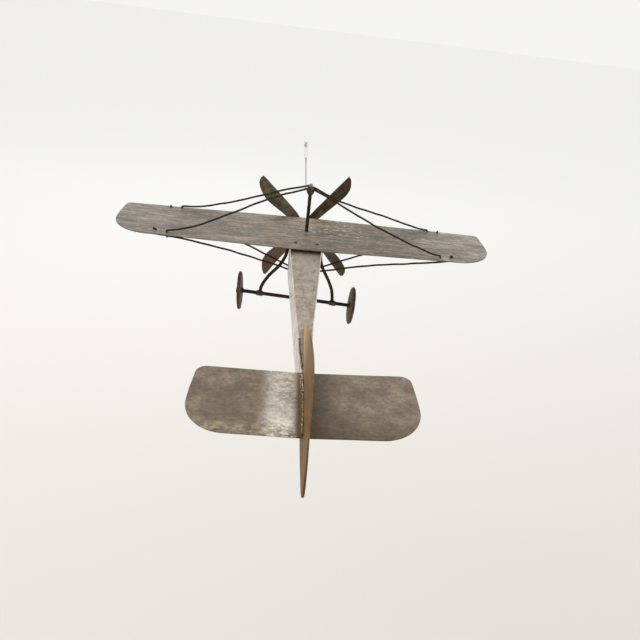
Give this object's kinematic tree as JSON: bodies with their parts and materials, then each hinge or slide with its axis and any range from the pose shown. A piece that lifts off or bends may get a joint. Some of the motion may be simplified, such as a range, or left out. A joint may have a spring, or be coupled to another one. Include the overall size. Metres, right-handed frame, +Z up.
{
  "type": "wire-braced model aeroplane",
  "caption": "Hand-made sheet-metal model monoplane with a high wire-braced wing, two disc wheels, crossed propeller blades and a wedge fuselage, hung from its kingpost.",
  "frame": {"origin": "head of the kingpost, where the model hangs, in the model's plane of symmetry", "axes": "+X towards the right wing, +Y towards the nose, +Z up in level flight"},
  "size_m": [0.5052, 0.498, 0.2595],
  "materials": {
    "wing_sheet": "weathered, streaked along the span",
    "tail_sheet": "grey-brown patina with bare patches",
    "fuselage_sheet": "pale mottled sheet, worn bright at the sides",
    "fin_sheet": "warm brown patina",
    "rusted_rod": "dark rusted rod",
    "rusted_wire": "dark rusted wire",
    "blade_sheet": "dark olive-brown patina",
    "wheel_metal": "dark worn disc",
    "solder": "rough dull solder",
    "screw_steel": "dull steel",
    "block_wood": "plain softwood",
    "hanger_steel": "thin bright steel wire",
    "nylon": "clear nylon line"
  },
  "bodies": {
    "airframe": {"wing": "wing_sheet", "wing_screws": "screw_steel", "mast": "rusted_rod", "mast_cap": "screw_steel", "mast_head_binding": "rusted_wire", "mast_foot_binding": "rusted_wire", "fuselage_left_side": "fuselage_sheet", "fuselage_right_side": "fuselage_sheet", "fuselage_deck": "fuselage_sheet", "fuselage_belly": "fuselage_sheet", "nose_block": "block_wood", "nose_plate": "fuselage_sheet", "mast_former": "block_wood", "screw_former": "block_wood", "fin_rudder": "fin_sheet", "tailplane_left": "tail_sheet", "tailplane_right": "tail_sheet", "tail_solder_left": "solder", "tail_solder_right": "solder", "seam_solder": "solder", "left_strut": "rusted_rod", "right_strut": "rusted_rod", "axle": "rusted_rod", "left_strut_joint": "solder", "right_strut_joint": "solder", "left_wheel_stop": "solder", "right_wheel_stop": "solder", "prop_spacer": "screw_steel", "prop_pin": "screw_steel", "upper_wire_left_front": "rusted_wire", "lower_wire_left_front": "rusted_wire", "upper_wire_left_rear": "rusted_wire", "lower_wire_left_rear": "rusted_wire", "upper_wire_right_front": "rusted_wire", "lower_wire_right_front": "rusted_wire", "upper_wire_right_rear": "rusted_wire", "lower_wire_right_rear": "rusted_wire"},
    "propeller": {"prop_bar_left": "blade_sheet", "prop_bar_right": "blade_sheet", "prop_boss": "screw_steel"},
    "left_wheel": {"left_wheel": "wheel_metal"},
    "right_wheel": {"right_wheel": "wheel_metal"},
    "hanger": {"hanger_wire": "hanger_steel", "hanging_loop": "nylon", "loop_knot": "nylon"}
  },
  "joints": [
    {"name": "propeller_spin", "type": "hinge", "parent": "airframe", "child": "propeller", "pos_m": [-0.0028, 0.059, -0.0789], "axis": [0, 1, 0], "continuous": true},
    {"name": "left_wheel_spin", "type": "hinge", "parent": "airframe", "child": "left_wheel", "pos_m": [-0.0899, 0.016, -0.1704], "axis": [0.9982, 0, -0.0594], "continuous": true},
    {"name": "right_wheel_spin", "type": "hinge", "parent": "airframe", "child": "right_wheel", "pos_m": [0.0798, 0.016, -0.1805], "axis": [0.9982, 0, -0.0594], "continuous": true},
    {"name": "hanger_swing", "type": "hinge", "parent": "airframe", "child": "hanger", "pos_m": [-0.0065, 0.00213, 0.00125], "axis": [1, 0, 0], "range_deg": [-40, 95]}
  ]
}
